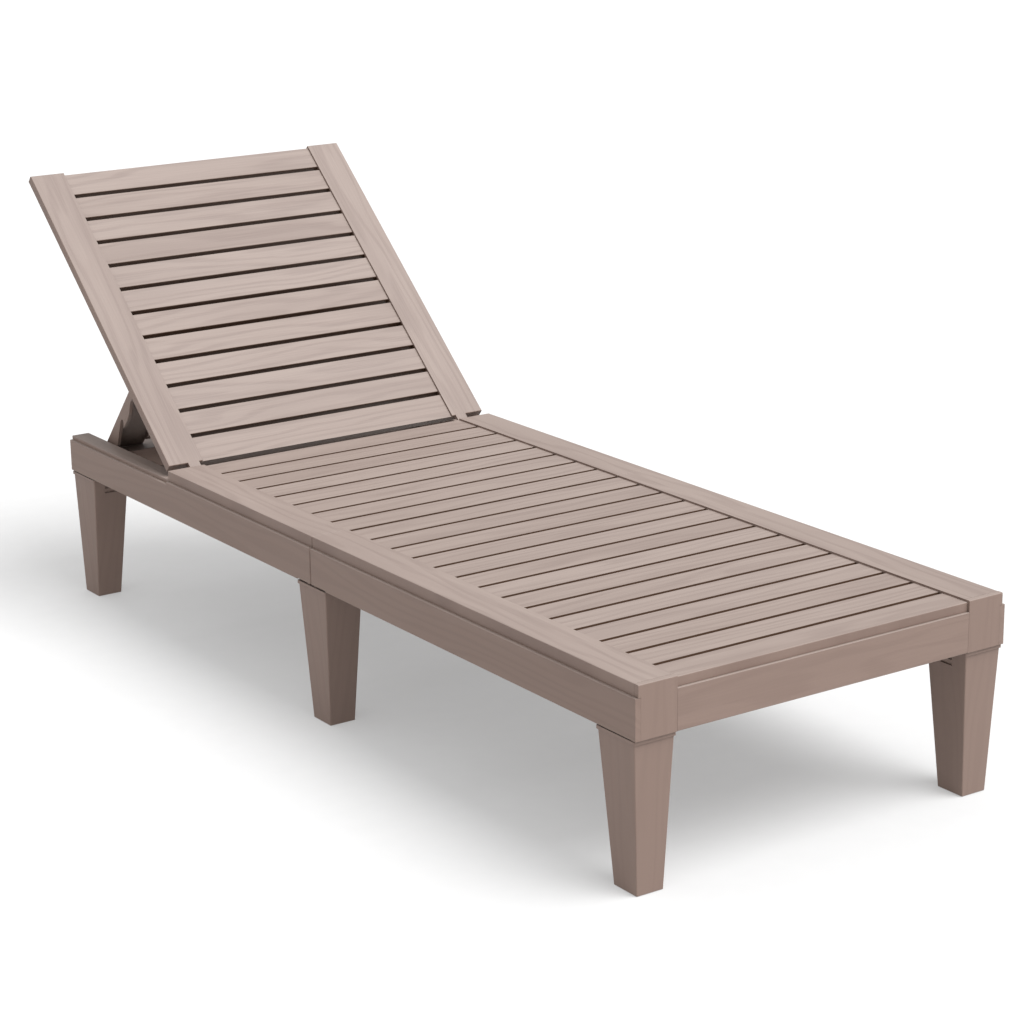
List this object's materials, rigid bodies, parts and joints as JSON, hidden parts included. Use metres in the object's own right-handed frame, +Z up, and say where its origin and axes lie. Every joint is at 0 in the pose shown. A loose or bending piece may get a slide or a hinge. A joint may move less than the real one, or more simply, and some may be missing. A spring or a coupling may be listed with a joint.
{
  "type": "reclining sun lounger",
  "caption": "Slatted resin sun lounger on tapered legs, with a backrest that reclines on a hinge line and a folding prop behind it.",
  "frame": {"origin": "on the floor, under the middle of the lounger's outline as it stands with its backrest raised", "axes": "+X across the lounger, towards its right side as seen from the foot end; +Y along it, from the foot end towards the head; +Z up"},
  "size_m": [0.668, 1.8344, 0.7472],
  "materials": {
    "resin_taupe": "taupe moulded resin with a fine wood grain, matt",
    "resin_structure": "plain taupe resin, darker, on the hidden beams",
    "zinc_steel": "zinc-plated steel fasteners and pins",
    "glide_rubber": "dark brown soft pad under each leg"
  },
  "bodies": {
    "base": {"cross_beam_foot": "resin_structure", "cross_beam_head": "resin_structure", "cross_beam_hinge": "resin_structure", "cross_beam_seam_foot": "resin_structure", "cross_beam_seam_head": "resin_structure", "deck_screws_foot": "zinc_steel", "deck_screws_head": "zinc_steel", "foot_corner_cap_left": "resin_taupe", "foot_corner_cap_right": "resin_taupe", "foot_end_board": "resin_taupe", "head_end_rail": "resin_taupe", "head_platform": "resin_taupe", "hinge_pin_left": "zinc_steel", "hinge_pin_right": "zinc_steel", "leg_foot_left": "resin_taupe", "leg_foot_right": "resin_taupe", "leg_glide_foot_left": "glide_rubber", "leg_glide_foot_right": "glide_rubber", "leg_glide_head_left": "glide_rubber", "leg_glide_head_right": "glide_rubber", "leg_glide_middle_left": "glide_rubber", "leg_glide_middle_right": "glide_rubber", "leg_head_left": "resin_taupe", "leg_head_right": "resin_taupe", "leg_middle_left": "resin_taupe", "leg_middle_right": "resin_taupe", "platform_screws": "zinc_steel", "prop_rack_left": "resin_taupe", "prop_rack_right": "resin_taupe", "seam_bolts": "zinc_steel", "seam_joiner_left": "zinc_steel", "seam_joiner_right": "zinc_steel", "seam_nuts": "zinc_steel", "seat_deck_foot": "resin_taupe", "seat_deck_head": "resin_taupe", "side_rail_foot_left": "resin_taupe", "side_rail_foot_right": "resin_taupe", "side_rail_head_left": "resin_taupe", "side_rail_head_right": "resin_taupe"},
    "backrest": {"backrest_panel": "resin_taupe", "prop_bracket_left": "resin_taupe", "prop_bracket_right": "resin_taupe", "prop_pin_left": "zinc_steel", "prop_pin_right": "zinc_steel"},
    "prop": {"prop_arm_left": "resin_taupe", "prop_arm_right": "resin_taupe", "prop_panel": "resin_taupe", "prop_screws": "zinc_steel"}
  },
  "joints": [
    {"name": "backrest_hinge", "type": "hinge", "parent": "base", "child": "backrest", "pos_m": [0, 0.41429, 0.301], "axis": [1, 0, 0], "range_deg": [-41.5, 17]},
    {"name": "prop_pivot", "type": "hinge", "parent": "backrest", "child": "prop", "pos_m": [0, 0.58298, 0.42288], "axis": [1, 0, 0], "range_deg": [-36.9, 90.1]}
  ],
  "couplings": [
    {"joint": "prop_pivot", "follows": "backrest_hinge", "ratio": -2.17}
  ]
}
